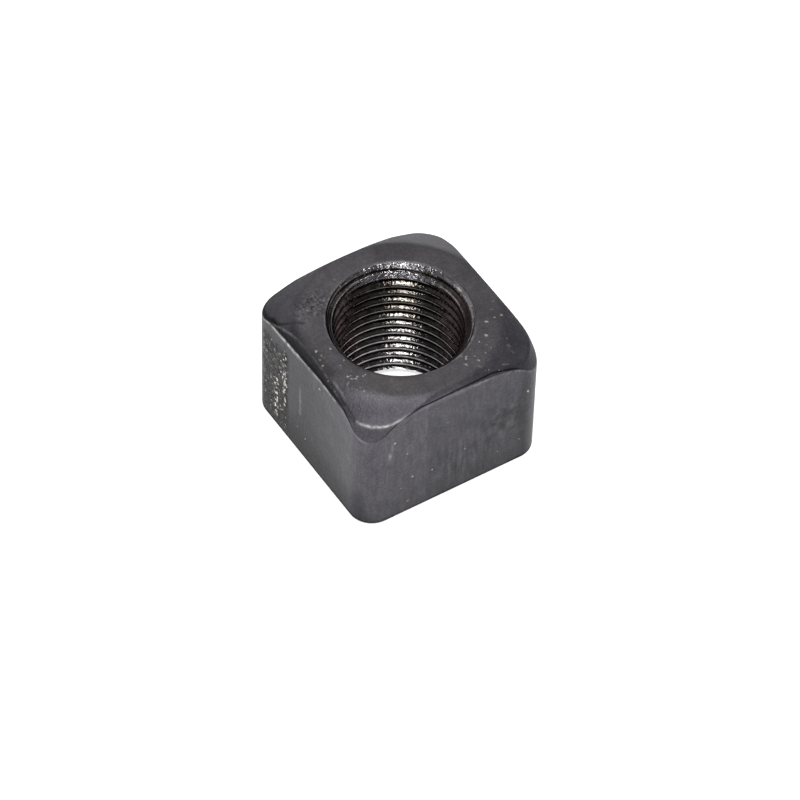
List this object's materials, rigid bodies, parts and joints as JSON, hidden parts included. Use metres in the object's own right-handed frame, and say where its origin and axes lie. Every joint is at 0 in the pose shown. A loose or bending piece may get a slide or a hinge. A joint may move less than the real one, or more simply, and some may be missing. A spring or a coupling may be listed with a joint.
{
  "type": "square nut",
  "caption": "Heavy forged square nut with rounded corners, a coned crown and a threaded through bore; it clamps a bolted joint against its flat bearing face.",
  "frame": {"origin": "centre of the bearing face, on the thread axis, at the bottom of the nut", "axes": "+Z along the thread axis from the bearing face to the crown, +X and +Y square to the flats"},
  "size_m": [0.0334, 0.0334, 0.0245],
  "materials": {
    "forged_steel": "dark oxide on forged steel, satin, with worn edges"
  },
  "bodies": {
    "root": {"square_nut": "forged_steel"}
  },
  "joints": []
}
